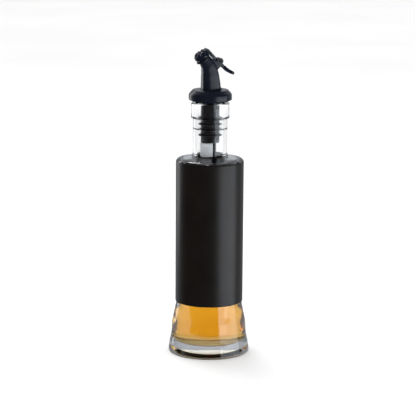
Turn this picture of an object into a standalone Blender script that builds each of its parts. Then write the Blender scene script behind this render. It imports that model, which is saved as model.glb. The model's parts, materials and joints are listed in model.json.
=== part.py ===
"""An oil and vinegar dispenser: a glass bottle in a black metal sleeve, with a stopper and a lever pourer.

Everything is in metres. +Z is up, the origin is the middle of the bottle's foot on the table, the spout
points to -X and the thumb lever to +X. The bottle, the sleeve, the oil and the stopper are turned shapes.
The lid with its arm and lever is the one moving piece, and its origin is on the hinge pin.
"""

import math

import bmesh
import bpy
from mathutils import Matrix, Vector

OBJECT_NAME = "oil_dispenser"

# How finely round shapes are cut
BOTTLE_SIDES = 48
STOPPER_SIDES = 32
SMALL_SIDES = 20

# The clear gap kept between pieces that touch
TOUCH_GAP = 0.0003

# Bottle, outside
BASE_RADIUS = 0.0340
BODY_RADIUS = 0.0276
FLARE = ((0.0030, 0.0340), (0.0090, 0.0331), (0.0160, 0.0317), (0.0260, 0.0310), (0.0345, 0.0293), (0.0432, 0.0276))
FLARE_STEPS = 2
FOOT_ROUND = 0.0018
FOOT_RING_INNER = 0.0235
PUNT_RISE = 0.0018
SHOULDER_Z = 0.1640
SHOULDER_ROUND = 0.0016
SHOULDER_RISE = 0.0026
NECK_RADIUS = 0.0145
NECK_FILLET = 0.0022
FINISH_Z = 0.2000
FINISH_RADIUS = 0.0160
STEP_HEIGHT = 0.0007
BOTTLE_TOP_Z = 0.2125
LIP_ROUND = 0.0010

# Bottle, inside
WALL = 0.0030
FLOOR_Z = 0.0093
HEEL_RADIUS = 0.0276
HEEL_ROUND = 0.0050
INNER_FLARE = ((0.0200, 0.0272), (0.0260, 0.0267), (0.0345, 0.0257))
NECK_BORE = 0.0104
BORE_STEP_Z = 0.1910
LOWER_BORE = 0.0113
THROAT_ROUND = 0.0030

# Sleeve
SLEEVE_RADIUS = 0.0285
SLEEVE_WALL = 0.0006
SLEEVE_BOTTOM_Z = 0.0439
SLEEVE_TOP_Z = 0.1641
SLEEVE_LIP_HEIGHT = 0.0014
SLEEVE_LIP_WIDTH = 0.0004

# Oil
OIL_LEVEL_Z = 0.1280

# Pourer's collar, and the stem under it that holds the stopper
COLLAR_RADIUS = 0.0180
COLLAR_Z = BOTTLE_TOP_Z + TOUCH_GAP
COLLAR_UNDER_RADIUS = 0.0134
COLLAR_UNDER_CHAMFER = 0.0024
COLLAR_EDGE_Z = 0.2201
COLLAR_TOP_Z = 0.2234
COLLAR_TOP_RADIUS = 0.0148
STEM_RADIUS = 0.0063
STEM_BOTTOM_Z = 0.2050

# Stopper
PLUG_RADIUS = 0.00775
PLUG_BOTTOM_Z = 0.1794
FIN_RADIUS = 0.0098
FIN_HEIGHT = 0.0019
FIN_Z = (0.1993, 0.1951, 0.1905, 0.1858)
POUR_X = -0.0030
PLUG_BORE = 0.0038
AIR_X = 0.0040

# Pour tube and air tube under the stopper
POUR_TUBE_RADIUS = 0.0053
POUR_TUBE_BORE = 0.0027
POUR_TUBE_BOTTOM_Z = 0.1650
SPIGOT_RADIUS = PLUG_BORE - TOUCH_GAP
SPIGOT_TOP_Z = 0.1900
AIR_TUBE_RADIUS = 0.0015
AIR_TUBE_BORE = 0.0008
AIR_TUBE_TOP_Z = 0.2040
AIR_TUBE_BOTTOM_Z = 0.1500

# Spout: the middle of each section as X and Z, and its radius; it is narrower across than along X
LID_TILT = math.radians(33.0)
MOUTH_X = -0.0077
MOUTH_Z = 0.2521
MOUTH_RADIUS = 0.0044
SPOUT_SECTIONS = (
    (0.0004, 0.2220, 0.0086),
    (0.0004, 0.2236, 0.0085),
    (0.0003, 0.2244, 0.0081),
    (0.0001, 0.2290, 0.0077),
    (-0.0003, 0.2340, 0.0073),
    (-0.0008, 0.2385, 0.0067),
    (-0.0017, 0.2425, 0.0062),
    (-0.0033, 0.2455, 0.0056),
    (-0.0052, 0.2482, 0.0051),
    (-0.0066, 0.2504, 0.0049),
    (MOUTH_X, MOUTH_Z, MOUTH_RADIUS),
)
SPOUT_WIDTH_SHARE = 0.88
DRIP_LIP_X = -0.0066
DRIP_LIP_Z = 0.2483
DRIP_LIP_RADIUS = 0.0060
DRIP_LIP_THICKNESS = 0.0015
CHANNEL_RADIUS = 0.0033
CHANNEL_STRAIGHT_Z = 0.2350
CHANNEL_ROUTE = ((-0.0033, 0.2390), (-0.0042, 0.2440), (-0.0058, 0.2490))
AIR_DUCT_RADIUS = 0.0008
AIR_DUCT_TOP = (-0.0010, 0.2360)

# Hinge
PIN_X = 0.0074
PIN_Z = 0.2470
PIN_RADIUS = 0.0008
PIN_LENGTH = 0.0072
EAR_RADIUS = 0.0028
EAR_THICKNESS = 0.0014
EAR_FOOT = (
    (0.0076, 0.2424),
    (0.0050, 0.2396),
    (0.0005, 0.2405),
    (-0.0015, 0.2470),
    (-0.0010, 0.2495),
    (0.0012, 0.2494),
    (0.0038, 0.2470),
)
KNUCKLE_RADIUS = 0.0025
KNUCKLE_WIDTH = 0.0036

# Lid, arm and thumb lever, from the hinge pin
LID_X = -0.01525
LID_Z = 0.0054
LID_RADIUS = 0.0069
LID_TOP = 0.0032
LID_SKIRT = 0.0017
LID_RIM_WIDTH = 0.0009
LID_CEILING = 0.0001
LID_CEILING_RADIUS = 0.0050
ARM_UPPER_SIDE = ((-0.0126, 0.0098), (-0.0115, 0.0109), (-0.0102, 0.0104))
ARM_UNDER_SIDE = ((-0.0080, 0.0050), (-0.0093, 0.0080))
ARM_WIDTH = 0.0062
LEVER_TIP = (0.0119, -0.0104)
LEVER_SAG = 0.0011
LEVER_THICKNESS = 0.0025
LEVER_WIDTH = 0.0082
LEVER_STEPS = 8
RIB_START = (-0.0008, -0.0041)
RIB_END = (0.0072, -0.0087)
RIB_WIDTH = 0.0014


def clear_scene():
    for obj in list(bpy.data.objects):
        bpy.data.objects.remove(obj, do_unlink=True)


def new_collection(name, hidden=False):
    collection = bpy.data.collections.new(name)
    collection.hide_render = hidden
    bpy.context.scene.collection.children.link(collection)
    return collection


def new_material(name, colour, roughness, metallic=0.0, transmission=0.0, ior=1.5):
    """A Principled material; the colour is linear RGB."""
    material = bpy.data.materials.new(name)
    material.use_nodes = True
    shader = material.node_tree.nodes["Principled BSDF"]
    shader.inputs["Base Color"].default_value = (*colour, 1.0)
    shader.inputs["Roughness"].default_value = roughness
    shader.inputs["Metallic"].default_value = metallic
    shader.inputs["Transmission Weight"].default_value = transmission
    shader.inputs["IOR"].default_value = ior
    return material


def arc(centre_x, centre_z, radius_x, radius_z, start, end, steps):
    """Points along an elliptical arc in the X-Z plane; the angles are in degrees from +X."""
    points = []
    for step in range(steps + 1):
        angle = math.radians(start + (end - start) * step / steps)
        points.append((centre_x + radius_x * math.cos(angle), centre_z + radius_z * math.sin(angle)))
    return points


def smooth_line(stations, steps):
    """A Catmull-Rom curve through the stations, each a pair of numbers."""
    padded = [stations[0], *stations, stations[-1]]
    points = []
    for a, b, c, d in zip(padded, padded[1:], padded[2:], padded[3:]):
        for step in range(steps):
            t = step / steps
            points.append(tuple(
                0.5 * (2 * q + (r - p) * t + (2 * p - 5 * q + 4 * r - s) * t * t + (3 * q - p - 3 * r + s) * t ** 3)
                for p, q, r, s in zip(a, b, c, d)
            ))
    points.append(tuple(stations[-1]))
    return points


def link_mesh(name, mesh, collection, material=None):
    obj = bpy.data.objects.new(name, mesh)
    collection.objects.link(obj)
    if material:
        mesh.materials.append(material)
    return obj


def finish_mesh(obj, sharp_angle=32.0):
    """Turns the object's modifiers into its mesh, and shades its round faces smooth."""
    evaluated = obj.evaluated_get(bpy.context.evaluated_depsgraph_get())
    mesh = bpy.data.meshes.new_from_object(evaluated)
    mesh.name = obj.name
    obj.modifiers.clear()
    obj.data = mesh
    mesh.shade_smooth()
    mesh.set_sharp_from_angle(angle=math.radians(sharp_angle))


def turned(name, outline, sides, collection, material=None):
    """A turned body: the outline of (radius, height) points is spun round Z by a Screw modifier.

    A solid's outline starts and ends on the axis; a ring's outline is closed.
    """
    mesh = bpy.data.meshes.new(name)
    count = len(outline)
    edges = [(i, i + 1) for i in range(count - 1)]
    if outline[0][0] > 0.0:
        edges.append((count - 1, 0))
    mesh.from_pydata([(radius, 0.0, height) for radius, height in outline], edges, [])
    obj = link_mesh(name, mesh, collection, material)
    screw = obj.modifiers.new("Turn", "SCREW")
    screw.axis = "Z"
    screw.angle = math.tau
    screw.steps = sides
    screw.render_steps = sides
    screw.use_merge_vertices = True
    screw.merge_threshold = 0.00001
    screw.use_smooth_shade = True
    return obj


def curve_mesh(name, curve, collection):
    """The closed mesh of a curve, which a Boolean can take; its caps are welded on."""
    source = bpy.data.objects.new(name + "_curve", curve)
    collection.objects.link(source)
    evaluated = source.evaluated_get(bpy.context.evaluated_depsgraph_get())
    mesh = bpy.data.meshes.new_from_object(evaluated)
    mesh.name = name
    body = bmesh.new()
    body.from_mesh(mesh)
    bmesh.ops.remove_doubles(body, verts=body.verts, dist=0.000001)
    bmesh.ops.recalc_face_normals(body, faces=body.faces)
    body.to_mesh(mesh)
    body.free()
    obj = link_mesh(name, mesh, collection)
    obj.matrix_world = source.matrix_world
    bpy.data.objects.remove(source)
    return obj


def tube(name, route, radii, sides, collection):
    """A round bar along a route of (x, z) points in the plane y = 0, with one radius for each point."""
    curve = bpy.data.curves.new(name, "CURVE")
    curve.dimensions = "3D"
    curve.bevel_depth = 1.0
    curve.bevel_resolution = (sides - 4) // 2
    curve.use_fill_caps = True
    spline = curve.splines.new("POLY")
    spline.points.add(len(route) - 1)
    for point, (x, z), radius in zip(spline.points, route, radii):
        point.co = (x, 0.0, z, 1.0)
        point.radius = radius
    return curve_mesh(name, curve, collection)


def slab(name, outline, thickness, collection, matrix=None):
    """A flat outline given thickness both ways from its plane; the matrix places that plane."""
    curve = bpy.data.curves.new(name, "CURVE")
    curve.dimensions = "2D"
    curve.fill_mode = "BOTH"
    curve.extrude = thickness / 2
    spline = curve.splines.new("POLY")
    spline.use_cyclic_u = True
    spline.points.add(len(outline) - 1)
    for point, (across, along) in zip(spline.points, outline):
        point.co = (across, along, 0.0, 1.0)
    obj = curve_mesh(name, curve, collection)
    if matrix:
        obj.matrix_world = matrix
    return obj


def upright(x=0.0, y=0.0, z=0.0):
    """Turns a flat outline's second axis up, so that the outline lies in the X-Z plane."""
    return Matrix.Translation((x, y, z)) @ Matrix.Rotation(math.radians(90.0), 4, "X")


def cross_bar(name, radius, length, x, z, collection, sides=SMALL_SIDES):
    """A cylinder along Y."""
    mesh = bpy.data.meshes.new(name)
    body = bmesh.new()
    bmesh.ops.create_cone(
        body, cap_ends=True, segments=sides, radius1=radius, radius2=radius, depth=length,
        matrix=Matrix.Rotation(math.radians(90.0), 4, "X"),
    )
    body.to_mesh(mesh)
    body.free()
    obj = link_mesh(name, mesh, collection)
    obj.location = (x, 0.0, z)
    return obj


def boolean(obj, other, operation):
    modifier = obj.modifiers.new(f"{operation.title()} {other.name}", "BOOLEAN")
    modifier.operation = operation
    modifier.object = other
    modifier.solver = "EXACT"
    other.display_type = "WIRE"
    other.hide_render = True


def bottle_outside():
    """The bottle's outer outline, from the lip's top down to the middle of the foot."""
    finish = arc(FINISH_RADIUS - LIP_ROUND, BOTTLE_TOP_Z - LIP_ROUND, LIP_ROUND, LIP_ROUND, 90, 0, 3)
    finish += [(FINISH_RADIUS, FINISH_Z), (NECK_RADIUS, FINISH_Z - STEP_HEIGHT)]
    shoulder_top = SHOULDER_Z + SHOULDER_ROUND
    foot_z = shoulder_top + SHOULDER_RISE
    neck_foot = arc(
        NECK_RADIUS + NECK_FILLET, foot_z + NECK_FILLET, NECK_FILLET, NECK_FILLET, 180, 262, 4,
    )
    shoulder = arc(BODY_RADIUS - SHOULDER_ROUND, SHOULDER_Z, SHOULDER_ROUND, SHOULDER_ROUND, 80, 0, 3)
    flare = [(radius, z) for z, radius in reversed(smooth_line(FLARE, FLARE_STEPS))]
    foot = arc(BASE_RADIUS - FOOT_ROUND, FOOT_ROUND, FOOT_ROUND, FOOT_ROUND, 0, -90, 3)
    punt = [(FOOT_RING_INNER, 0.0), (FOOT_RING_INNER - 2 * PUNT_RISE, PUNT_RISE), (0.0, PUNT_RISE)]
    return finish + neck_foot + shoulder + flare + foot + punt


def bottle_inside(inset=0.0, top_z=None):
    """The bottle's inner outline from the floor's middle up, moved inwards by the inset.

    With top_z it stops at that height, as the oil's own side does.
    """
    body = BODY_RADIUS - WALL - inset
    floor = FLOOR_Z + inset
    side = arc(HEEL_RADIUS - inset - HEEL_ROUND, floor + HEEL_ROUND, HEEL_ROUND, HEEL_ROUND, -90, 0, 4)
    rise = [*((z, radius - inset) for z, radius in INNER_FLARE), (FLARE[-1][0], body)]
    side += [(radius, z) for z, radius in smooth_line(rise, 2)]
    if top_z:
        return [(0.0, floor), *side, (body, top_z)]
    shoulder_z = SHOULDER_Z + SHOULDER_ROUND - WALL
    shoulder = arc(body - THROAT_ROUND, shoulder_z - THROAT_ROUND, THROAT_ROUND, THROAT_ROUND, 0, 80, 3)
    throat = arc(LOWER_BORE + THROAT_ROUND, shoulder_z + THROAT_ROUND, THROAT_ROUND, THROAT_ROUND, 260, 180, 3)
    step = [(LOWER_BORE, BORE_STEP_Z - STEP_HEIGHT / 2), (NECK_BORE, BORE_STEP_Z + STEP_HEIGHT / 2)]
    mouth = arc(NECK_BORE + LIP_ROUND, BOTTLE_TOP_Z - LIP_ROUND, LIP_ROUND, LIP_ROUND, 180, 90, 2)
    return [(0.0, floor), *side, *shoulder, *throat, *step, *mouth]


def make_bottle(collection, material):
    return turned("glass_bottle", bottle_inside() + bottle_outside(), BOTTLE_SIDES, collection, material)


def make_oil(collection, material):
    side = bottle_inside(TOUCH_GAP, OIL_LEVEL_Z)
    outline = [(0.0, OIL_LEVEL_Z), *reversed(side)]
    return turned("oil", outline, BOTTLE_SIDES, collection, material)


def make_sleeve(collection, material):
    """A thin tube round the bottle's straight part, with a top edge that rounds inwards."""
    inner = SLEEVE_RADIUS - SLEEVE_WALL
    lip = arc(
        SLEEVE_RADIUS - SLEEVE_LIP_WIDTH, SLEEVE_TOP_Z - SLEEVE_LIP_HEIGHT,
        SLEEVE_LIP_WIDTH, SLEEVE_LIP_HEIGHT, 90, 0, 4,
    )
    outline = [(inner, SLEEVE_TOP_Z), *lip, (SLEEVE_RADIUS, SLEEVE_BOTTOM_Z), (inner, SLEEVE_BOTTOM_Z)]
    return turned("metal_sleeve", outline, BOTTLE_SIDES, collection, material)


def make_plug(collection, cutters, material):
    """The ribbed stopper: a core with four thin fins, drilled for the stem, the pour tube and the air tube."""
    outline = [(0.0, BOTTLE_TOP_Z), (PLUG_RADIUS, BOTTLE_TOP_Z)]
    for z in FIN_Z:
        outline += [
            (PLUG_RADIUS, z + FIN_HEIGHT / 2),
            (FIN_RADIUS, z + FIN_HEIGHT / 6),
            (FIN_RADIUS, z - FIN_HEIGHT / 6),
            (PLUG_RADIUS, z - FIN_HEIGHT / 2),
        ]
    outline += [(PLUG_RADIUS, PLUG_BOTTOM_Z), (0.0, PLUG_BOTTOM_Z)]
    plug = turned("stopper_plug", outline, STOPPER_SIDES, collection, material)
    above = BOTTLE_TOP_Z + 0.002
    below = PLUG_BOTTOM_Z - 0.002
    socket_z = STEM_BOTTOM_Z - TOUCH_GAP
    socket = tube(
        "stem_socket", ((0.0, above), (0.0, socket_z)), (STEM_RADIUS + TOUCH_GAP,) * 2, STOPPER_SIDES, cutters,
    )
    pour_bore = tube(
        "plug_pour_bore", ((POUR_X, above), (POUR_X, below)), (PLUG_BORE,) * 2, SMALL_SIDES, cutters,
    )
    air_bore = tube(
        "plug_air_bore", ((AIR_X, socket_z + 0.001), (AIR_X, below)),
        (AIR_TUBE_RADIUS + TOUCH_GAP,) * 2, SMALL_SIDES, cutters,
    )
    for cutter in (socket, pour_bore, air_bore):
        boolean(plug, cutter, "DIFFERENCE")
    return plug


def make_pour_tube(collection, material):
    """The pale tube under the stopper, with a thinner spigot that goes up into it."""
    shoulder_z = PLUG_BOTTOM_Z - TOUCH_GAP
    outline = [
        (POUR_TUBE_BORE, SPIGOT_TOP_Z),
        (SPIGOT_RADIUS, SPIGOT_TOP_Z),
        (SPIGOT_RADIUS, shoulder_z),
        (POUR_TUBE_RADIUS, shoulder_z),
        (POUR_TUBE_RADIUS, POUR_TUBE_BOTTOM_Z),
        (POUR_TUBE_BORE, POUR_TUBE_BOTTOM_Z),
    ]
    obj = turned("pour_tube", outline, STOPPER_SIDES, collection, material)
    obj.location.x = POUR_X
    return obj


def make_air_tube(collection, material):
    outline = [
        (AIR_TUBE_BORE, AIR_TUBE_TOP_Z),
        (AIR_TUBE_RADIUS, AIR_TUBE_TOP_Z),
        (AIR_TUBE_RADIUS, AIR_TUBE_BOTTOM_Z),
        (AIR_TUBE_BORE, AIR_TUBE_BOTTOM_Z),
    ]
    obj = turned("air_tube", outline, SMALL_SIDES, collection, material)
    obj.location.x = AIR_X
    return obj


def ear_outline():
    """Half of the hinge bracket seen from the side: round about the pin, with its foot in the spout."""
    head = arc(PIN_X, PIN_Z, EAR_RADIUS, EAR_RADIUS, 160, -45, 10)
    return head + list(EAR_FOOT)


def make_pourer(collection, cutters, material):
    """The collar with its stem, the bent spout and the two hinge ears, as one moulding with its channel."""
    outline = [
        (0.0, COLLAR_TOP_Z),
        (COLLAR_TOP_RADIUS, COLLAR_TOP_Z),
        (COLLAR_RADIUS - 0.0008, COLLAR_EDGE_Z + 0.0007),
        (COLLAR_RADIUS, COLLAR_EDGE_Z - 0.0006),
        (COLLAR_RADIUS, COLLAR_Z + COLLAR_UNDER_CHAMFER),
        (COLLAR_UNDER_RADIUS, COLLAR_Z),
        (STEM_RADIUS, COLLAR_Z),
        (STEM_RADIUS, STEM_BOTTOM_Z),
        (0.0, STEM_BOTTOM_Z),
    ]
    pourer = turned("pourer_body", outline, BOTTLE_SIDES, collection, material)
    spout = tube(
        "spout_outside", [(x, z) for x, z, _ in SPOUT_SECTIONS], [r for _, _, r in SPOUT_SECTIONS], 28, cutters,
    )
    spout.scale.y = SPOUT_WIDTH_SHARE
    boolean(pourer, spout, "UNION")
    mouth_axis = Vector((-math.sin(LID_TILT), math.cos(LID_TILT)))
    lip_middle = Vector((DRIP_LIP_X, DRIP_LIP_Z))
    lip_half = mouth_axis * DRIP_LIP_THICKNESS / 2
    lip = tube("drip_lip", (lip_middle - lip_half, lip_middle + lip_half), (DRIP_LIP_RADIUS,) * 2, 28, cutters)
    boolean(pourer, lip, "UNION")
    for side in (-1, 1):
        y = side * (KNUCKLE_WIDTH / 2 + TOUCH_GAP + EAR_THICKNESS / 2)
        ear = slab(f"ear_{'left' if side < 0 else 'right'}", ear_outline(), EAR_THICKNESS, cutters, upright(y=y))
        boolean(pourer, ear, "UNION")
    mouth = Vector((MOUTH_X, MOUTH_Z))
    route = [(POUR_X, STEM_BOTTOM_Z - 0.002), (POUR_X, CHANNEL_STRAIGHT_Z), *CHANNEL_ROUTE]
    route += [mouth, mouth + mouth_axis * 0.002]
    channel = tube("pour_channel", route, (CHANNEL_RADIUS,) * len(route), SMALL_SIDES, cutters)
    duct = tube(
        "air_duct", ((AIR_X, STEM_BOTTOM_Z - 0.002), (AIR_X, COLLAR_Z), AIR_DUCT_TOP),
        (AIR_DUCT_RADIUS,) * 3, 12, cutters,
    )
    pin_bore = cross_bar("ear_bore", PIN_RADIUS + TOUCH_GAP, 0.02, PIN_X, PIN_Z, cutters)
    for cutter in (channel, duct, pin_bore):
        boolean(pourer, cutter, "DIFFERENCE")
    return pourer


def make_pin(collection, material):
    pin = cross_bar("hinge_pin", PIN_RADIUS, PIN_LENGTH, PIN_X, PIN_Z, collection)
    pin.data.materials.append(material)
    return pin


def lever_line():
    """The middle line of the thumb lever, an arc that hangs a little below its chord."""
    start = Vector((KNUCKLE_RADIUS * 0.4, -KNUCKLE_RADIUS * 0.6))
    tip = Vector(LEVER_TIP)
    down = Vector((tip.y - start.y, start.x - tip.x)).normalized()
    line = []
    for step in range(LEVER_STEPS + 1):
        t = step / LEVER_STEPS
        line.append(start.lerp(tip, t) + down * LEVER_SAG * 4 * t * (1 - t))
    return line


def offset_line(line, distance):
    """The line moved sideways, to its left for a positive distance."""
    moved = []
    for index, point in enumerate(line):
        before = line[max(index - 1, 0)]
        after = line[min(index + 1, len(line) - 1)]
        along = (after - before).normalized()
        moved.append(point + Vector((-along.y, along.x)) * distance)
    return moved


def flap_side_outline():
    """The arm, the knuckle and the lever seen from the side, from the hinge pin."""
    line = lever_line()
    upper = offset_line(line, LEVER_THICKNESS / 2)
    lower = offset_line(line, -LEVER_THICKNESS / 2)
    tip = line[-1] + (line[-1] - line[-2]).normalized() * LEVER_THICKNESS * 0.4
    inside_knuckle = KNUCKLE_RADIUS - 0.0002
    knuckle_top = arc(0.0, 0.0, inside_knuckle, inside_knuckle, 140, 45, 3)
    knuckle_under = arc(0.0, 0.0, inside_knuckle, inside_knuckle, -95, -160, 3)
    lever = [*upper[1:], tip, *reversed(lower[1:])]
    return [*ARM_UPPER_SIDE, *knuckle_top, *(tuple(point) for point in lever), *knuckle_under, *ARM_UNDER_SIDE]


def flap_plan_outline():
    """The same pieces from above: a broad arm, a narrow knuckle and a lever with a round end."""
    half_arm = ARM_WIDTH / 2
    half_knuckle = KNUCKLE_WIDTH / 2 - 0.0002
    half_lever = LEVER_WIDTH / 2
    tip_x = LEVER_TIP[0] + LEVER_THICKNESS
    edge = [
        (LID_X, half_arm),
        (-0.0039, half_arm),
        (-0.0032, half_knuckle),
        (0.0041, half_knuckle),
        (0.0062, half_lever * 0.82),
    ]
    edge += arc(tip_x - half_lever, 0.0, half_lever, half_lever, 80, 0, 6)
    return edge + [(x, -y) for x, y in reversed(edge[:-1])]


def lid_outline():
    """The lid's outline about its own axis: a low dome with a boss in its middle, and a skirt round the mouth."""
    inner = LID_RADIUS - LID_RIM_WIDTH
    return [
        (0.0, LID_TOP),
        (0.0012, LID_TOP - 0.0001),
        (0.0018, LID_TOP - 0.0008),
        (0.0036, LID_TOP - 0.0006),
        (0.0050, LID_TOP - 0.0010),
        (0.0061, LID_TOP - 0.0016),
        (LID_RADIUS, LID_TOP - 0.0030),
        (LID_RADIUS, -LID_SKIRT + 0.0003),
        (LID_RADIUS - 0.0003, -LID_SKIRT),
        (inner, -LID_SKIRT),
        (LID_CEILING_RADIUS, LID_CEILING),
        (0.0, LID_CEILING),
    ]


def make_flap(collection, cutters, material):
    """The lid, its arm and the thumb lever in one piece, placed on the hinge pin."""
    here = (PIN_X, 0.0, PIN_Z)
    flap = slab("pourer_flap", flap_side_outline(), LEVER_WIDTH, collection, upright(*here))
    flap.data.materials.append(material)
    plan = slab("flap_plan", flap_plan_outline(), 0.05, cutters, Matrix.Translation(here))
    boolean(flap, plan, "INTERSECT")
    knuckle = cross_bar("flap_knuckle", KNUCKLE_RADIUS, KNUCKLE_WIDTH, PIN_X, PIN_Z, cutters, 24)
    boolean(flap, knuckle, "UNION")
    rib_outline = [(0.0005, -0.0015), RIB_START, RIB_END, (RIB_END[0] + 0.0006, RIB_END[1] + 0.0012)]
    rib = slab("lever_rib", rib_outline, RIB_WIDTH, cutters, upright(*here))
    boolean(flap, rib, "UNION")
    lid = turned("flap_lid", lid_outline(), SMALL_SIDES + 4, cutters)
    lid.location = (PIN_X + LID_X, 0.0, PIN_Z + LID_Z)
    lid.rotation_euler = (0.0, -LID_TILT, 0.0)
    boolean(flap, lid, "UNION")
    pin_bore = cross_bar("knuckle_bore", PIN_RADIUS + TOUCH_GAP, 0.02, PIN_X, PIN_Z, cutters)
    boolean(flap, pin_bore, "DIFFERENCE")
    return flap


def main():
    clear_scene()
    parts = new_collection(OBJECT_NAME)
    cutters = new_collection(OBJECT_NAME + "_cutters", hidden=True)
    glass = new_material("clear_glass", (0.95, 0.97, 0.97), 0.02, transmission=1.0)
    black_metal = new_material("black_coated_metal", (0.012, 0.010, 0.009), 0.38, metallic=0.3)
    golden_oil = new_material("golden_oil", (0.80, 0.45, 0.05), 0.02, transmission=0.9, ior=1.47)
    black_plastic = new_material("black_plastic", (0.012, 0.013, 0.017), 0.28)
    black_rubber = new_material("black_rubber", (0.010, 0.010, 0.011), 0.55)
    pale_plastic = new_material("pale_plastic", (0.68, 0.70, 0.72), 0.35, transmission=0.2)
    pin_plastic = new_material("pin_plastic", (0.014, 0.015, 0.018), 0.40)
    make_bottle(parts, glass)
    make_sleeve(parts, black_metal)
    make_oil(parts, golden_oil)
    make_pourer(parts, cutters, black_plastic)
    make_plug(parts, cutters, black_rubber)
    make_pour_tube(parts, pale_plastic)
    make_air_tube(parts, black_plastic)
    make_pin(parts, pin_plastic)
    make_flap(parts, cutters, black_plastic)
    for obj in parts.objects:
        finish_mesh(obj)


main()
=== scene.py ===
import json
import math

import bmesh
import bpy
from mathutils import Matrix, Vector


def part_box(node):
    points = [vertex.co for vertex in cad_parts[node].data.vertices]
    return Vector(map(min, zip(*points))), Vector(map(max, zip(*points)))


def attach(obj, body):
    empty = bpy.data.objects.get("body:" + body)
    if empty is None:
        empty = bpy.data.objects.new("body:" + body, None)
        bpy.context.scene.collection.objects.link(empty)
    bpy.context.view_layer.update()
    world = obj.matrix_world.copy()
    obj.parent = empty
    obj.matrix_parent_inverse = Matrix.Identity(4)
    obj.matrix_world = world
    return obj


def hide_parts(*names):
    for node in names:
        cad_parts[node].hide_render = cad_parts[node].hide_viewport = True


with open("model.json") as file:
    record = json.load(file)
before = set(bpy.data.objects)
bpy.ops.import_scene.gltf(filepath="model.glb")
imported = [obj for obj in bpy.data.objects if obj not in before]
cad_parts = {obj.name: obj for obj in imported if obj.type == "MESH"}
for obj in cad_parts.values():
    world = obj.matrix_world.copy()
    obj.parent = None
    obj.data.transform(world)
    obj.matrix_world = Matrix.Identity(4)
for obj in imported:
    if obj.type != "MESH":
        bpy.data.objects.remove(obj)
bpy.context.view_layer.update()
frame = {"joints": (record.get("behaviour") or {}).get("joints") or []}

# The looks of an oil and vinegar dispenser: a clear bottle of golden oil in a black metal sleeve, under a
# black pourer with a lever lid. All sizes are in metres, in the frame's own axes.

# Places read from the frame
BASE_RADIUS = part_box("glass_bottle")[1].x
BOTTLE_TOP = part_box("glass_bottle")[1].z
SLEEVE_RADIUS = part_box("metal_sleeve")[1].x
SLEEVE_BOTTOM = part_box("metal_sleeve")[0].z
SLEEVE_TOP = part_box("metal_sleeve")[1].z
OIL_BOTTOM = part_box("oil")[0].z
OIL_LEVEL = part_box("oil")[1].z
PLUG_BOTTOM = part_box("stopper_plug")[0].z
FIN_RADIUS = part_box("stopper_plug")[1].x
COLLAR_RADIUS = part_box("pourer_body")[1].x
STEM_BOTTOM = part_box("pourer_body")[0].z
POUR_TUBE_BOTTOM, POUR_TUBE_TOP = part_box("pour_tube")[0].z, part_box("pour_tube")[1].z
AIR_TUBE_BOTTOM, AIR_TUBE_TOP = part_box("air_tube")[0].z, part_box("air_tube")[1].z
HINGE = Vector(frame["joints"][0]["pos_m"])

# Bottle
BODY_RADIUS = 0.0276
FLARE = (
    (0.0030, 0.0340),
    (0.0090, 0.0331),
    (0.0160, 0.0317),
    (0.0260, 0.0310),
    (0.0345, 0.0293),
    (0.0432, 0.0276),
)
WALL = 0.0030
FLOOR_Z = OIL_BOTTOM - 0.0003
HEEL_RADIUS = 0.0276
HEEL_ROUND = 0.0050
INNER_FLARE = ((0.0200, 0.0272), (0.0260, 0.0267), (0.0345, 0.0257), (0.0432, 0.0246))
NECK_RADIUS = 0.0145
FINISH_RADIUS = 0.0160
NECK_BORE = 0.0104
LOWER_BORE = 0.0113
BORE_STEP_Z = 0.1910

# Oil: how far its side reaches into the glass
OIL_OVERLAP = 0.00015

# Pourer
POUR_X = -0.0030
AIR_X = 0.0040
PLUG_RADIUS = 0.00775
PLUG_BORE = 0.0038
FIN_PLACES = (0.1993, 0.1951, 0.1905, 0.1858)
SOCKET_RADIUS = 0.0066
STEM_RADIUS = 0.0063
CHANNEL_RADIUS = 0.0033
EAR_RADIUS = 0.0028
PIN_RADIUS = 0.0008
PIN_HALF_LENGTH = 0.0036
PIN_HOLE_RADIUS = 0.0011
SPOUT_WIDTH = 0.84
SPOUT_POWER = 0.64
LIP_RADIUS = 0.0060
LID_TILT = math.radians(33.0)
MOUTH = Vector((-0.0077, 0.0, 0.2521))
SPOUT_SECTIONS = (
    (0.0004, 0.2228, 0.0094),
    (0.0004, 0.2236, 0.0086),
    (0.0003, 0.2246, 0.0081),
    (0.0001, 0.2290, 0.0077),
    (-0.0003, 0.2340, 0.0073),
    (-0.0008, 0.2385, 0.0067),
    (-0.0017, 0.2425, 0.0062),
    (-0.0033, 0.2455, 0.0056),
    (-0.0052, 0.2482, 0.0051),
    (-0.0066, 0.2504, 0.0049),
    (MOUTH.x, MOUTH.z, 0.0044),
)

# Lid, arm and lever, from the hinge pin
LID_PLACE = (-0.01525, 0.0, 0.0054)
LID_PETALS = 8
PETAL_HEIGHT = 0.0007
LEVER_TIP = (0.0119, -0.0104)
LEVER_THICKNESS = 0.0025
LEVER_RIDGES = (0.40, 0.51, 0.62, 0.73, 0.84, 0.95)

# Camera: it stands 1.5 m away and looks down on the bottle, with the spout turned a little towards it
CAMERA_PLACE = (-0.0017, -1.4840, 0.4200)
CAMERA_TURN = math.radians(20.0)
CAMERA_PITCH = math.radians(11.3)
CAMERA_ROLL = math.radians(0.4)
CAMERA_LENS = 156.1

# A turn that lays an upright piece along Y
LAID_ALONG_Y = Matrix.Rotation(math.radians(90), 4, "X")

# Floor: it ends close in front of the bottle, white against a white room, because the oil would mirror it
FLOOR_FRONT = 0.11
FLOOR_SIDE = 4.0
FLOOR_BACK = 6.0

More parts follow.
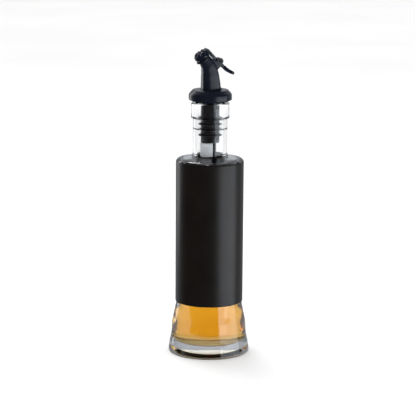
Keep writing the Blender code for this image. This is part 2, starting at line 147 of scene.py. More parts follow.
# Lamps and room: the room is white to the camera and to matt surfaces, and dim to mirrored and refracted rays
PANEL_COLOUR = (0.88, 0.94, 1.0)
ROOM_STRENGTH = 1.06
DIM_FRONT = (0.06, 0.045, 0.04)
DIM_BACK = (0.90, 0.94, 1.0)
DIM_CUT = 0.45

# Glass and oil
GLASS_TINT = (0.940, 0.951, 0.956, 1.0)
GLASS_IOR = 1.5
OIL_IOR = 1.47
OIL_COLOUR = (0.962, 0.765, 0.05, 1.0)
OIL_DENSITY = 82.0


def linear(red, green, blue):
    """A colour of 0 to 255 as the linear values that shaders take."""
    shares = (red / 255, green / 255, blue / 255)
    return tuple(c / 12.92 if c <= 0.04045 else ((c + 0.055) / 1.055) ** 2.4 for c in shares)


def smooth_line(stations, steps):
    """A Catmull-Rom curve through the stations, each a tuple of numbers."""
    padded = [stations[0], *stations, stations[-1]]
    points = []
    for a, b, c, d in zip(padded, padded[1:], padded[2:], padded[3:]):
        for step in range(steps):
            t = step / steps
            points.append(tuple(
                0.5 * (
                    2 * q + (r - p) * t + (2 * p - 5 * q + 4 * r - s) * t * t
                    + (3 * q - p - 3 * r + s) * t ** 3
                )
                for p, q, r, s in zip(a, b, c, d)
            ))
    points.append(tuple(stations[-1]))
    return points


def filleted(corners, steps=5):
    """The line through (x, z, fillet radius) corners, with each corner rounded by its own radius."""
    line = []
    for index, (x, z, radius) in enumerate(corners):
        corner = Vector((x, z))
        if radius == 0 or index in (0, len(corners) - 1):
            line.append((x, z))
            continue
        before = Vector(corners[index - 1][:2]) - corner
        after = Vector(corners[index + 1][:2]) - corner
        turn = before.angle(after)
        reach = min(radius / math.tan(turn / 2), before.length * 0.49, after.length * 0.49)
        start = corner + before.normalized() * reach
        end = corner + after.normalized() * reach
        for step in range(steps + 1):
            t = step / steps
            line.append(tuple(start * (1 - t) ** 2 + corner * 2 * t * (1 - t) + end * t * t))
    return line


def new_piece(name, mesh, material, body="bottle", replaces=(), sharp=30.0):
    """Puts a finished mesh in the scene as a piece of the object."""
    mesh.shade_smooth()
    mesh.set_sharp_from_angle(angle=math.radians(sharp))
    obj = bpy.data.objects.new(name, mesh)
    bpy.context.scene.collection.objects.link(obj)
    mesh.materials.clear()
    mesh.materials.append(material)
    if body:
        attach(obj, body)
    if replaces:
        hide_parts(*replaces)
    return obj


def lathe(outline, segments, closed=False, centre=(0.0, 0.0)):
    """A mesh turned round Z from (radius, height) points that run down the outer side.

    A line that starts and ends on the axis gives a solid, and a closed one gives a ring.
    """
    work = bmesh.new()
    rings = []
    for radius, height in outline:
        if radius < 1e-7:
            rings.append([work.verts.new((centre[0], centre[1], height))])
            continue
        ring = []
        for step in range(segments):
            angle = math.tau * step / segments
            ring.append(work.verts.new(
                (centre[0] + radius * math.cos(angle), centre[1] + radius * math.sin(angle), height)
            ))
        rings.append(ring)
    pairs = list(zip(rings, rings[1:]))
    if closed:
        pairs.append((rings[-1], rings[0]))
    for upper, lower in pairs:
        for step in range(segments):
            after = (step + 1) % segments
            if len(upper) == 1 and len(lower) == 1:
                continue
            if len(upper) == 1:
                work.faces.new((upper[0], lower[step], lower[after]))
            elif len(lower) == 1:
                work.faces.new((upper[step], lower[0], upper[after]))
            else:
                work.faces.new((upper[step], lower[step], lower[after], upper[after]))
    mesh = bpy.data.meshes.new("lathe")
    work.to_mesh(mesh)
    work.free()
    return mesh


def rod(radius, top, bottom, segments, x=0.0):
    """A plain upright rod, used to drill holes."""
    return lathe([(0.0, top), (radius, top), (radius, bottom), (0.0, bottom)], segments, centre=(x, 0.0))


def loft(sections, sides, width=1.0, power=1.0):
    """A mesh through sections of (x, z, radius) in the plane y = 0, each square to the line of middles.

    The sections are round, unless a width below 1 makes them narrower along Y and a power below 1 flattens
    their sides.
    """
    work = bmesh.new()
    middles = [Vector((x, 0.0, z)) for x, z, _ in sections]
    rings = []
    for index, (middle, (_, _, radius)) in enumerate(zip(middles, sections)):
        before = middles[max(index - 1, 0)]
        after = middles[min(index + 1, len(middles) - 1)]
        along = (after - before).normalized()
        across = Vector((0.0, 1.0, 0.0)).cross(along).normalized()
        ring = []
        for step in range(sides):
            angle = math.tau * step / sides
            reach = math.copysign(abs(math.cos(angle)) ** power, math.cos(angle))
            side = math.copysign(abs(math.sin(angle)) ** power, math.sin(angle))
            offset = across * reach + Vector((0.0, 1.0, 0.0)) * side * width
            ring.append(work.verts.new(middle + offset * radius))
        rings.append(ring)
    for lower, upper in zip(rings, rings[1:]):
        for step in range(sides):
            after = (step + 1) % sides
            work.faces.new((lower[step], lower[after], upper[after], upper[step]))
    work.faces.new(list(reversed(rings[0])))
    work.faces.new(rings[-1])
    bmesh.ops.recalc_face_normals(work, faces=work.faces)
    mesh = bpy.data.meshes.new("loft")
    work.to_mesh(mesh)
    work.free()
    return mesh


def prism(outline, low, high, upright=True):
    """A flat outline pushed out between two depths: along Y when upright, and along Z when not."""
    work = bmesh.new()

    def place(a, b, depth):
        return (a, depth, b) if upright else (a, b, depth)

    near = [work.verts.new(place(a, b, low)) for a, b in outline]
    far = [work.verts.new(place(a, b, high)) for a, b in outline]
    work.faces.new(near)
    work.faces.new(list(reversed(far)))
    for index in range(len(outline)):
        after = (index + 1) % len(outline)
        work.faces.new((near[index], far[index], far[after], near[after]))
    bmesh.ops.recalc_face_normals(work, faces=work.faces)
    mesh = bpy.data.meshes.new("prism")
    work.to_mesh(mesh)
    work.free()
    return mesh


def edge_rounded(mesh, width, segments=3, angle=30.0):
    """The mesh with its sharp edges rounded."""
    obj = bpy.data.objects.new("rounding", mesh)
    bpy.context.scene.collection.objects.link(obj)
    bevel = obj.modifiers.new("Bevel", "BEVEL")
    bevel.width = width
    bevel.segments = segments
    bevel.limit_method = "ANGLE"
    bevel.angle_limit = math.radians(angle)
    return take_mesh(obj)


def take_mesh(obj):
    """The object's mesh with its modifiers applied; the object itself is removed."""
    evaluated = obj.evaluated_get(bpy.context.evaluated_depsgraph_get())
    mesh = bpy.data.meshes.new_from_object(evaluated)
    bpy.data.objects.remove(obj)
    return mesh


def combined(base, others):
    """The base mesh after a Boolean with each (mesh, operation) of others, in order."""
    obj = bpy.data.objects.new("base", base)
    bpy.context.scene.collection.objects.link(obj)
    helpers = []
    for mesh, operation in others:
        helper = bpy.data.objects.new("helper", mesh)
        bpy.context.scene.collection.objects.link(helper)
        helpers.append(helper)
        modifier = obj.modifiers.new("Boolean", "BOOLEAN")
        modifier.operation = operation
        modifier.object = helper
        modifier.solver = "EXACT"
    mesh = take_mesh(obj)
    for helper in helpers:
        bpy.data.objects.remove(helper)
    return mesh


def node_material(name):
    material = bpy.data.materials.new(name)
    material.use_nodes = True
    tree = material.node_tree
    return material, tree, tree.nodes["Principled BSDF"]


def noise(tree, scale, detail=2.0, stretch=(1.0, 1.0, 1.0)):
    """A noise texture in the piece's own coordinates; the scale is in waves for each metre."""
    place = tree.nodes.new("ShaderNodeTexCoord")
    mapping = tree.nodes.new("ShaderNodeMapping")
    mapping.inputs["Scale"].default_value = stretch
    texture = tree.nodes.new("ShaderNodeTexNoise")
    texture.inputs["Scale"].default_value = scale
    texture.inputs["Detail"].default_value = detail
    tree.links.new(place.outputs["Object"], mapping.inputs["Vector"])
    tree.links.new(mapping.outputs["Vector"], texture.inputs["Vector"])
    return texture


def ramp(tree, source, low, high, first=0.35, last=0.65):
    """Maps a texture's value to a range of colours."""
    node = tree.nodes.new("ShaderNodeValToRGB")
    node.color_ramp.elements[0].position = first
    node.color_ramp.elements[0].color = (*low, 1.0)
    node.color_ramp.elements[1].position = last
    node.color_ramp.elements[1].color = (*high, 1.0)
    tree.links.new(source, node.inputs["Fac"])
    return node


def spread(tree, source, low, high):
    """Maps a texture's value from its usual 0.3 to 0.7 to a range of numbers."""
    node = tree.nodes.new("ShaderNodeMapRange")
    node.inputs["From Min"].default_value = 0.3
    node.inputs["From Max"].default_value = 0.7
    node.inputs["To Min"].default_value = low
    node.inputs["To Max"].default_value = high
    tree.links.new(source, node.inputs["Value"])
    return node


def bump(tree, shader, source, depth):
    """Relief of the given depth in metres."""
    node = tree.nodes.new("ShaderNodeBump")
    node.inputs["Distance"].default_value = depth
    tree.links.new(source, node.inputs["Height"])
    tree.links.new(node.outputs["Normal"], shader.inputs["Normal"])


def coated_metal():
    """Black baked coating: a very fine grain, and patches that are a touch smoother."""
    material, tree, shader = node_material("black_coated_metal")
    patches = noise(tree, 40.0)
    colour = ramp(tree, patches.outputs["Fac"], linear(19, 14, 11), linear(23, 17, 13))
    tree.links.new(colour.outputs["Color"], shader.inputs["Base Color"])
    rough = spread(tree, patches.outputs["Fac"], 0.35, 0.40)
    tree.links.new(rough.outputs["Result"], shader.inputs["Roughness"])
    shader.inputs["Specular IOR Level"].default_value = 0.5
    grain = noise(tree, 5200.0, 3.0)
    bump(tree, shader, grain.outputs["Fac"], 0.000006)
    return material


def moulded_plastic(name, smoothest, roughest, shine):
    """Black moulded plastic with faint flow marks; its roughness lies between the two given values."""
    material, tree, shader = node_material(name)
    flow = noise(tree, 160.0, 3.0, (1.0, 1.0, 0.3))
    colour = ramp(tree, flow.outputs["Fac"], linear(13, 19, 32), linear(16, 22, 36))
    tree.links.new(colour.outputs["Color"], shader.inputs["Base Color"])
    rough = spread(tree, flow.outputs["Fac"], smoothest, roughest)
    tree.links.new(rough.outputs["Result"], shader.inputs["Roughness"])
    shader.inputs["Specular IOR Level"].default_value = shine
    grain = noise(tree, 2600.0, 2.0)
    bump(tree, shader, grain.outputs["Fac"], 0.000008)
    return material


def rubber():
    material, tree, shader = node_material("black_rubber")
    dust = noise(tree, 700.0, 4.0)
    colour = ramp(tree, dust.outputs["Fac"], linear(26, 28, 34), linear(34, 37, 44))
    tree.links.new(colour.outputs["Color"], shader.inputs["Base Color"])
    rough = spread(tree, dust.outputs["Fac"], 0.32, 0.42)
    tree.links.new(rough.outputs["Result"], shader.inputs["Roughness"])
    shader.inputs["Specular IOR Level"].default_value = 0.4
    bump(tree, shader, dust.outputs["Fac"], 0.00002)
    return material


def pale_plastic():
    material, tree, shader = node_material("pale_plastic")
    cloud = noise(tree, 120.0)
    colour = ramp(tree, cloud.outputs["Fac"], linear(238, 241, 244), linear(246, 248, 251))
    tree.links.new(colour.outputs["Color"], shader.inputs["Base Color"])
    rough = spread(tree, cloud.outputs["Fac"], 0.30, 0.42)
    tree.links.new(rough.outputs["Result"], shader.inputs["Roughness"])
    return material


def pin_plastic():
    """The hinge pin's black plastic, marked along by its mould."""
    material, tree, shader = node_material("pin_plastic")
    marks = noise(tree, 900.0, 2.0, (1.0, 8.0, 1.0))
    colour = ramp(tree, marks.outputs["Fac"], linear(13, 14, 18), linear(19, 20, 25))
    tree.links.new(colour.outputs["Color"], shader.inputs["Base Color"])
    rough = spread(tree, marks.outputs["Fac"], 0.36, 0.46)
    tree.links.new(rough.outputs["Result"], shader.inputs["Roughness"])
    shader.inputs["Specular IOR Level"].default_value = 0.2
    return material


def clear_glass():
    """Soda glass: clear, with the faint waviness that moulding leaves."""
    material, tree, shader = node_material("clear_glass")
    shader.inputs["Base Color"].default_value = GLASS_TINT
    shader.inputs["Transmission Weight"].default_value = 1.0
    shader.inputs["IOR"].default_value = GLASS_IOR
    waves = noise(tree, 90.0, 1.0, (1.0, 1.0, 0.5))
    rough = spread(tree, waves.outputs["Fac"], 0.0, 0.012)
    tree.links.new(rough.outputs["Result"], shader.inputs["Roughness"])
    bump(tree, shader, waves.outputs["Fac"], 0.00006)
    return material


def golden_oil():
    """Clear oil, whose colour comes from its depth."""
    material, tree, shader = node_material("golden_oil")
    shader.inputs["Base Color"].default_value = (1.0, 1.0, 1.0, 1.0)
    shader.inputs["Transmission Weight"].default_value = 1.0
    shader.inputs["IOR"].default_value = OIL_IOR
    haze = noise(tree, 60.0, 1.0)
    rough = spread(tree, haze.outputs["Fac"], 0.0, 0.01)
    tree.links.new(rough.outputs["Result"], shader.inputs["Roughness"])
    depth = tree.nodes.new("ShaderNodeVolumeAbsorption")
    depth.inputs["Color"].default_value = OIL_COLOUR
    depth.inputs["Density"].default_value = OIL_DENSITY
    tree.links.new(depth.outputs["Volume"], tree.nodes["Material Output"].inputs["Volume"])
    return material


def bottle_outline():
    """The glass from the floor's middle up the inside, over the lip, down the outside and under the foot."""
    inside = [
        (0.0, FLOOR_Z, 0),
        (HEEL_RADIUS, FLOOR_Z, HEEL_ROUND),
        (INNER_FLARE[0][1], INNER_FLARE[0][0], 0),
    ]
    inner_body = [(radius, z) for z, radius in smooth_line(INNER_FLARE, 8)]
    body = BODY_RADIUS - WALL
    upper_inside = filleted([
        (body, INNER_FLARE[-1][0] + 0.002, 0),
        (body, 0.1622, 0.0040),
        (LOWER_BORE, 0.1650, 0.0040),
        (LOWER_BORE, BORE_STEP_Z - 0.00035, 0.0003),
        (NECK_BORE, BORE_STEP_Z + 0.00035, 0.0003),
        (NECK_BORE, BOTTLE_TOP, 0.0009),
        (0.0150, BOTTLE_TOP, 0),
    ], 8)
    outside = filleted([
        (0.0120, BOTTLE_TOP, 0),
        (FINISH_RADIUS, BOTTLE_TOP, 0.0011),
        (FINISH_RADIUS, 0.2000, 0.0006),
        (NECK_RADIUS, 0.1993, 0.0004),
        (NECK_RADIUS, 0.1684, 0.0024),
        (0.0262, 0.1657, 0.0020),
        (BODY_RADIUS, 0.1650, 0.0008),
        (BODY_RADIUS, FLARE[-1][0] + 0.002, 0),
    ], 8)
    flare = [(radius, z) for z, radius in reversed(smooth_line(FLARE, 10))]
    foot = filleted([
        (BASE_RADIUS, 0.0029, 0),
        (BASE_RADIUS, 0.0, 0.0018),
        (0.0235, 0.0, 0.0010),
        (0.0199, 0.0018, 0.0020),
        (0.0, 0.0018, 0),
    ], 6)
    return filleted(inside, 8)[:-1] + inner_body + upper_inside[:-1] + outside[1:] + flare + foot


def make_bottle():
    mesh = lathe(bottle_outline(), 192)
    return new_piece("bottle_glass", mesh, clear_glass(), replaces=["glass_bottle"], sharp=60.0)


def make_oil():
    """The oil, a hair wider than the space inside the glass, so that no air shows between them."""
    side = filleted([
        (0.0, FLOOR_Z - OIL_OVERLAP, 0),
        (HEEL_RADIUS + OIL_OVERLAP, FLOOR_Z - OIL_OVERLAP, HEEL_ROUND),
        (INNER_FLARE[0][1] + OIL_OVERLAP, INNER_FLARE[0][0], 0),
    ], 8)[:-1]
    side += [(radius + OIL_OVERLAP, z) for z, radius in smooth_line(INNER_FLARE, 8)]
    side += [(BODY_RADIUS - WALL + OIL_OVERLAP, OIL_LEVEL), (0.0, OIL_LEVEL)]
    mesh = lathe(list(reversed(side)), 192)
    return new_piece("oil_fill", mesh, golden_oil(), replaces=["oil"], sharp=60.0)


def make_sleeve():
    inner = SLEEVE_RADIUS - 0.0006
    outline = filleted([
        (inner, 0.1000, 0),
        (inner, SLEEVE_TOP, 0.00015),
        (SLEEVE_RADIUS - 0.0004, SLEEVE_TOP, 0.0002),
        (SLEEVE_RADIUS, SLEEVE_TOP - 0.0014, 0.0020),
        (SLEEVE_RADIUS, SLEEVE_BOTTOM, 0.0002),
        (inner, SLEEVE_BOTTOM, 0.0001),
        (inner, 0.0999, 0),
    ], 6)
    mesh = lathe(outline, 192, closed=True)
    metal = coated_metal()
    return new_piece("sleeve_shell", mesh, metal, replaces=["metal_sleeve"], sharp=60.0)


def make_plug():
    """The ribbed stopper; each fin is thin at its edge and thicker at its root."""
    outline = [(0.0, BOTTLE_TOP, 0), (PLUG_RADIUS, BOTTLE_TOP, 0.0003)]
    for z in FIN_PLACES:
        outline += [
            (PLUG_RADIUS, z + 0.0011, 0.0005),
            (FIN_RADIUS, z + 0.00045, 0.0003),
            (FIN_RADIUS, z - 0.00035, 0.0003),
            (PLUG_RADIUS, z - 0.0009, 0.0005),
        ]
    outline += [(PLUG_RADIUS, PLUG_BOTTOM, 0.0006), (0.0, PLUG_BOTTOM, 0)]
    mesh = lathe(filleted(outline, 4), 96)
    above = BOTTLE_TOP + 0.001
    below = PLUG_BOTTOM - 0.001
    bore = rod(PLUG_BORE, above, below, 48, POUR_X)
    socket = rod(SOCKET_RADIUS, above, STEM_BOTTOM - 0.0003, 64)
    air = rod(0.0018, STEM_BOTTOM, below, 32, AIR_X)
    mesh = combined(mesh, [(socket, "DIFFERENCE"), (bore, "DIFFERENCE"), (air, "DIFFERENCE")])
    return new_piece("ribbed_stopper", mesh, rubber(), replaces=["stopper_plug"])


def make_pour_tube():
    shoulder = PLUG_BOTTOM - 0.0003
    outline = filleted([
        (0.0027, 0.1800, 0),
        (0.0027, POUR_TUBE_TOP, 0.0002),
        (0.0035, POUR_TUBE_TOP, 0.0002),
        (0.0035, shoulder, 0),
        (0.0053, shoulder, 0.0004),
        (0.0053, POUR_TUBE_BOTTOM, 0.0005),
        (0.0027, POUR_TUBE_BOTTOM, 0.0004),
        (0.0027, 0.1799, 0),
    ], 4)
    mesh = lathe(outline, 96, closed=True, centre=(POUR_X, 0.0))
    return new_piece("pale_pour_tube", mesh, pale_plastic(), replaces=["pour_tube"])


def make_air_tube(material):
    outline = filleted([
        (0.0008, 0.1800, 0),
        (0.0008, AIR_TUBE_TOP, 0.0001),
        (0.0015, AIR_TUBE_TOP, 0.0002),
        (0.0015, AIR_TUBE_BOTTOM, 0.0003),
        (0.0008, AIR_TUBE_BOTTOM, 0.0001),
        (0.0008, 0.1799, 0),
    ], 4)
    mesh = lathe(outline, 48, closed=True, centre=(AIR_X, 0.0))
    return new_piece("thin_air_tube", mesh, material, replaces=["air_tube"])


def mouth_point(across, along):
    """A point in the lid's own directions: across its face towards the hinge, and along its axis outwards."""
    return (
        MOUTH.x + across * math.cos(LID_TILT) - along * math.sin(LID_TILT),
        MOUTH.z + across * math.sin(LID_TILT) + along * math.cos(LID_TILT),
    )


def ear_outline():
    head = []
    for step in range(21):
        angle = math.radians(160 - 205 * step / 20)
        head.append((HINGE.x + EAR_RADIUS * math.cos(angle), HINGE.z + EAR_RADIUS * math.sin(angle)))
    foot = [(0.0076, 0.2424), (0.0050, 0.2396), (0.0005, 0.2405), (-0.0015, 0.2470), (-0.0010, 0.2495)]
    return head + foot + [(0.0012, 0.2494), (0.0038, 0.2470)]


def make_pourer(material):
    """Collar, stem, spout, drip lip and hinge ears as one moulding, with its channel open."""
    collar = filleted([
        (0.0, 0.2234, 0),
        (0.0148, 0.2234, 0.0006),
        (0.0172, 0.2208, 0.0010),
        (COLLAR_RADIUS, 0.2195, 0.0012),
        (COLLAR_RADIUS, 0.2152, 0.0005),
        (0.0134, 0.2128, 0.0006),
        (STEM_RADIUS, 0.2128, 0.0003),
        (STEM_RADIUS, STEM_BOTTOM, 0.0004),
        (0.0, STEM_BOTTOM, 0),
    ], 5)
    base = lathe(collar, 160)
    spout = loft(smooth_line(SPOUT_SECTIONS, 6), 96, SPOUT_WIDTH, SPOUT_POWER)
    steps = [(spout, "UNION")]
    lip = [(*mouth_point(-0.0011, offset), LIP_RADIUS) for offset in (-0.0045, -0.0030)]
    steps.append((edge_rounded(loft(lip, 64), 0.0005), "UNION"))
    for side in (-1, 1):
        near = side * 0.0021
        far = side * 0.0035
        ear = edge_rounded(prism(ear_outline(), min(near, far), max(near, far)), 0.0003)
        steps.append((ear, "UNION"))
    route = [(POUR_X, STEM_BOTTOM - 0.002), (POUR_X, 0.2350), (-0.0033, 0.2390), (-0.0042, 0.2440)]
    route += [(-0.0058, 0.2490), mouth_point(0.0, 0.0), mouth_point(0.0, 0.002)]
    channel = [(x, z, CHANNEL_RADIUS) for x, z in route]
    steps.append((loft(channel, 48), "DIFFERENCE"))
    duct = [(AIR_X, STEM_BOTTOM - 0.002, 0.0008), (AIR_X, BOTTLE_TOP, 0.0008), (-0.0010, 0.2360, 0.0008)]
    steps.append((loft(duct, 16), "DIFFERENCE"))
    pin_hole = rod(PIN_HOLE_RADIUS, 0.01, -0.01, 32)
    pin_hole.transform(Matrix.Translation(HINGE) @ LAID_ALONG_Y)
    steps.append((pin_hole, "DIFFERENCE"))
    mesh = combined(base, steps)
    return new_piece("pourer_moulding", mesh, material, replaces=["pourer_body"])


def make_pin():
    outline = filleted([
        (0.0, PIN_HALF_LENGTH, 0),
        (PIN_RADIUS, PIN_HALF_LENGTH, 0.0002),
        (PIN_RADIUS, -PIN_HALF_LENGTH, 0.0002),
        (0.0, -PIN_HALF_LENGTH, 0),
    ], 3)
    mesh = lathe(outline, 32)
    mesh.transform(Matrix.Translation(HINGE) @ LAID_ALONG_Y)
    return new_piece("lid_hinge_pin", mesh, pin_plastic(), replaces=["hinge_pin"])


def lever_line():
    """The middle of the thumb lever from the hinge pin, an arc that hangs a little below its chord."""
    start = Vector((0.0010, -0.0015))
    tip = Vector(LEVER_TIP)
    down = Vector((tip.y - start.y, start.x - tip.x)).normalized()
    return [start.lerp(tip, t) + down * 0.0011 * 4 * t * (1 - t) for t in (step / 16 for step in range(17))]


def offset_line(line, distance):
    """The line moved sideways, to its left for a positive distance."""
    moved = []
    for index, point in enumerate(line):
        along = (line[min(index + 1, len(line) - 1)] - line[max(index - 1, 0)]).normalized()
        moved.append(point + Vector((-along.y, along.x)) * distance)
    return moved


def knuckle_points(*degrees):
    """Points at the given angles, a hair inside the knuckle's round."""
    radius = 0.0023
    return [(radius * math.cos(math.radians(a)), radius * math.sin(math.radians(a))) for a in degrees]


def flap_side():
    """Arm, knuckle and lever seen from the side, from the hinge pin."""
    line = lever_line()
    upper = offset_line(line, LEVER_THICKNESS / 2)
    lower = offset_line(line, -LEVER_THICKNESS / 2)
    end = (line[-1] - line[-2]).normalized()
    tip = [line[-1] + end * 0.0007 + Vector((-end.y, end.x)) * side for side in (0.0007, -0.0007)]
    outline = [(-0.0126, 0.0098), (-0.0115, 0.0109), (-0.0102, 0.0104)]
    outline += knuckle_points(140, 92, 45)
    outline += [tuple(point) for point in (*upper[1:], *tip, *reversed(lower[1:]))]
    outline += knuckle_points(-95, -127, -160)
    return outline + [(-0.0080, 0.0050), (-0.0093, 0.0080)]


def flap_plan():
    """The same from above: a broad arm, a narrow knuckle and a lever with a round end."""
    edge = [(LID_PLACE[0], 0.0031), (-0.0039, 0.0031), (-0.0032, 0.0016), (0.0041, 0.0016), (0.0062, 0.0034)]
    tip = LEVER_TIP[0] + 0.0021
    for step in range(13):
        angle = math.radians(80 - 80 * step / 12)
        edge.append((tip - 0.0041 + 0.0041 * math.cos(angle), 0.0041 * math.sin(angle)))
    return edge + [(x, -y) for x, y in reversed(edge[:-1])]


def lid_mesh():
    """The lid about its own axis: a low dome with petals round a centre boss, and a skirt under it."""
    dome = [
        (0.0, 0.0032),
        (0.0012, 0.0031),
        (0.0016, 0.0024),
        (0.0021, 0.0023),
        (0.0028, 0.0026),
        (0.0036, 0.0026),
        (0.0044, 0.0023),
        (0.0052, 0.0021),
        (0.0060, 0.0017),
        (0.0066, 0.0010),
        (0.0069, 0.0002),
    ]
    under = [(0.0069, -0.0017), (0.0060, -0.0017), (0.0050, 0.0001), (0.0, 0.0001)]
    lid = lathe(smooth_line(dome, 3) + under, 128)
    for vertex in lid.vertices:
        radius = math.hypot(vertex.co.x, vertex.co.y)
        if vertex.co.z > 0.0001 and 0.0016 < radius < 0.0066:
            across = math.sin(math.pi * (radius - 0.0016) / 0.0050)
            turn = math.atan2(vertex.co.y, vertex.co.x)
            vertex.co.z += PETAL_HEIGHT * across * (abs(math.cos(LID_PETALS * turn / 2)) * 2 - 1)
    lid.transform(Matrix.Translation(LID_PLACE) @ Matrix.Rotation(-LID_TILT, 4, "Y"))
    return lid


def ridge_meshes():
    """Small round bars across the lever's upper face, where the thumb presses."""
    line = lever_line()
    upper = offset_line(line, LEVER_THICKNESS / 2 - 0.0001)
    ridges = []
    for share in LEVER_RIDGES:
        x, z = upper[round(share * (len(upper) - 1))]
        bar = lathe([(0.0, 0.0030), (0.0004, 0.0028), (0.0004, -0.0028), (0.0, -0.0030)], 16)
        bar.transform(Matrix.Translation((x, 0.0, z)) @ LAID_ALONG_Y)
        ridges.append(bar)
    return ridges


def make_flap(material):
    """The lid, its arm and the thumb lever in one moulding."""
    base = prism(flap_side(), -0.0041, 0.0041)
    plan = prism(flap_plan(), -0.02, 0.02, upright=False)
    slab = edge_rounded(combined(base, [(plan, "INTERSECT")]), 0.0004, 3, 35.0)
    knuckle = lathe(filleted([(0.0, 0.0018, 0), (0.0025, 0.0018, 0.0003), (0.0025, -0.0018, 0.0003),
                              (0.0, -0.0018, 0)], 3), 48)
    knuckle.transform(LAID_ALONG_Y)
    rib = edge_rounded(prism([(0.0005, -0.0015), (-0.0004, -0.0038), (0.0072, -0.0087), (0.0078, -0.0075)],
                             -0.0007, 0.0007), 0.0002)
    hole = rod(PIN_HOLE_RADIUS, 0.01, -0.01, 32)
    hole.transform(LAID_ALONG_Y)
    steps = [(mesh, "UNION") for mesh in (knuckle, rib, lid_mesh(), *ridge_meshes())]
    mesh = combined(slab, [*steps, (hole, "DIFFERENCE")])
    mesh.transform(Matrix.Translation(HINGE))
    return new_piece(
        "lid_and_lever", mesh, material, body="flap", replaces=["pourer_flap"],
    )


def make_floor():
    """A broad pale floor with the faint mottle of matt paint."""
    material, tree, shader = node_material("pale_floor")
    mottle = noise(tree, 3.0)
    colour = ramp(tree, mottle.outputs["Fac"], (0.92, 0.915, 0.91), (0.95, 0.945, 0.94))
    tree.links.new(colour.outputs["Color"], shader.inputs["Base Color"])
    shader.inputs["Roughness"].default_value = 0.7
    mesh = bpy.data.meshes.new("floor")
    work = bmesh.new()
    places = (
        (-FLOOR_SIDE, -FLOOR_FRONT, 0),
        (FLOOR_SIDE, -FLOOR_FRONT, 0),
        (FLOOR_SIDE, FLOOR_BACK, 0),
        (-FLOOR_SIDE, FLOOR_BACK, 0),
    )
    work.faces.new([work.verts.new(place) for place in places])
    work.to_mesh(mesh)
    work.free()
    mesh.transform(Matrix.Rotation(-CAMERA_TURN, 4, "Z"))
    floor = new_piece("floor", mesh, material, body=None)
    floor.visible_glossy = False
    return floor


def area_light(name, place, target, size, power, colour=(1.0, 1.0, 1.0)):
    """A soft box; its place and target are given as the camera sees them, so it turns with the camera."""
    data = bpy.data.lights.new(name, "AREA")
    data.shape = "RECTANGLE"
    data.size, data.size_y = size
    data.energy = power
    data.color = colour
    obj = bpy.data.objects.new(name, data)
    bpy.context.scene.collection.objects.link(obj)
    turn = Matrix.Rotation(-CAMERA_TURN, 4, "Z")
    obj.location = turn @ Vector(place)
    obj.rotation_euler = (turn @ (Vector(target) - Vector(place))).to_track_quat("-Z", "Y").to_euler()
    return obj


def make_lights():
    """Two panels at the right, a box at the left, a key light behind and a broad box over the far floor."""
    area_light("right_panel", (0.73, -0.33, -0.12), (0.0, 0.0, -0.07), (1.00, 0.46), 3.4, PANEL_COLOUR)
    area_light("upper_strip", (0.73, -0.33, 0.27), (0.0, 0.0, 0.25), (1.00, 0.14), 1.1, PANEL_COLOUR)
    left = area_light("left_box", (-0.58, 0.50, 0.30), (0.0, 0.0, 0.10), (0.20, 0.80), 1.1)
    left.visible_transmission = False
    key = area_light("key_box", (-0.25, 0.55, 1.10), (0.0, 0.0, 0.15), (0.45, 0.45), 4.0)
    key.visible_transmission = False
    back = area_light("back_floor_box", (0.0, 2.6, 2.5), (0.0, 2.6, 0.0), (5.0, 3.0), 14.0)
    back.visible_transmission = False


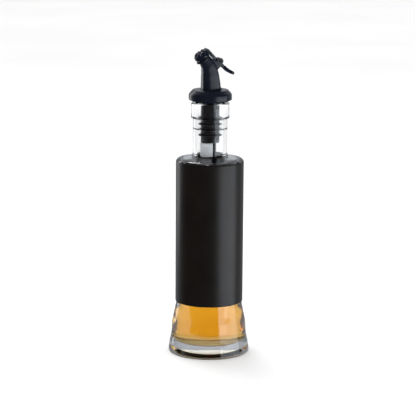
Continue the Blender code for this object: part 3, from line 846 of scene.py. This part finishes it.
def make_room():
    """A white surrounding, but for mirrored and refracted rays one that is dark in front and paler behind."""
    world = bpy.data.worlds.new("white_room")
    bpy.context.scene.world = world
    world.use_nodes = True
    tree = world.node_tree
    seen = tree.nodes["Background"]
    seen.inputs["Color"].default_value = (1.0, 1.0, 1.0, 1.0)
    seen.inputs["Strength"].default_value = ROOM_STRENGTH
    dim = tree.nodes.new("ShaderNodeBackground")
    direction = tree.nodes.new("ShaderNodeTexCoord")
    behind = tree.nodes.new("ShaderNodeVectorMath")
    behind.operation = "DOT_PRODUCT"
    behind.inputs[1].default_value = (math.sin(CAMERA_TURN), math.cos(CAMERA_TURN), 0.0)
    tree.links.new(direction.outputs["Generated"], behind.inputs[0])
    shade = ramp(tree, behind.outputs["Value"], DIM_FRONT, DIM_BACK, 0.10, 1.00)
    tree.links.new(shade.outputs["Color"], dim.inputs["Color"])
    path = tree.nodes.new("ShaderNodeLightPath")
    cut = tree.nodes.new("ShaderNodeMath")
    cut.operation = "MULTIPLY_ADD"
    cut.inputs[1].default_value = -DIM_CUT
    cut.inputs[2].default_value = 1.0
    tree.links.new(path.outputs["Is Glossy Ray"], cut.inputs[0])
    tree.links.new(cut.outputs["Value"], dim.inputs["Strength"])
    mix = tree.nodes.new("ShaderNodeMixShader")
    plain = tree.nodes.new("ShaderNodeMath")
    plain.operation = "MAXIMUM"
    tree.links.new(path.outputs["Is Camera Ray"], plain.inputs[0])
    tree.links.new(path.outputs["Diffuse Depth"], plain.inputs[1])
    tree.links.new(plain.outputs["Value"], mix.inputs["Fac"])
    tree.links.new(dim.outputs["Background"], mix.inputs[1])
    tree.links.new(seen.outputs["Background"], mix.inputs[2])
    tree.links.new(mix.outputs["Shader"], tree.nodes["World Output"].inputs["Surface"])


def make_camera():
    data = bpy.data.cameras.new("camera")
    data.lens = CAMERA_LENS
    data.sensor_width = 36.0
    camera = bpy.data.objects.new("camera", data)
    bpy.context.scene.collection.objects.link(camera)
    look = Matrix.Rotation(math.radians(90) - CAMERA_PITCH, 4, "X") @ Matrix.Rotation(CAMERA_ROLL, 4, "Z")
    turn = Matrix.Rotation(-CAMERA_TURN, 4, "Z")
    camera.matrix_world = turn @ Matrix.Translation(CAMERA_PLACE) @ look
    bpy.context.scene.camera = camera


def main():
    bpy.context.scene.view_settings.view_transform = "Standard"
    plastic = moulded_plastic("black_plastic", 0.24, 0.30, 0.5)
    make_camera()
    make_lights()
    make_room()
    make_floor()
    make_bottle()
    make_oil()
    make_sleeve()
    make_plug()
    make_pour_tube()
    make_air_tube(plastic)
    make_pourer(plastic)
    make_pin()
    make_flap(moulded_plastic("glossy_black_plastic", 0.07, 0.11, 0.6))


main()
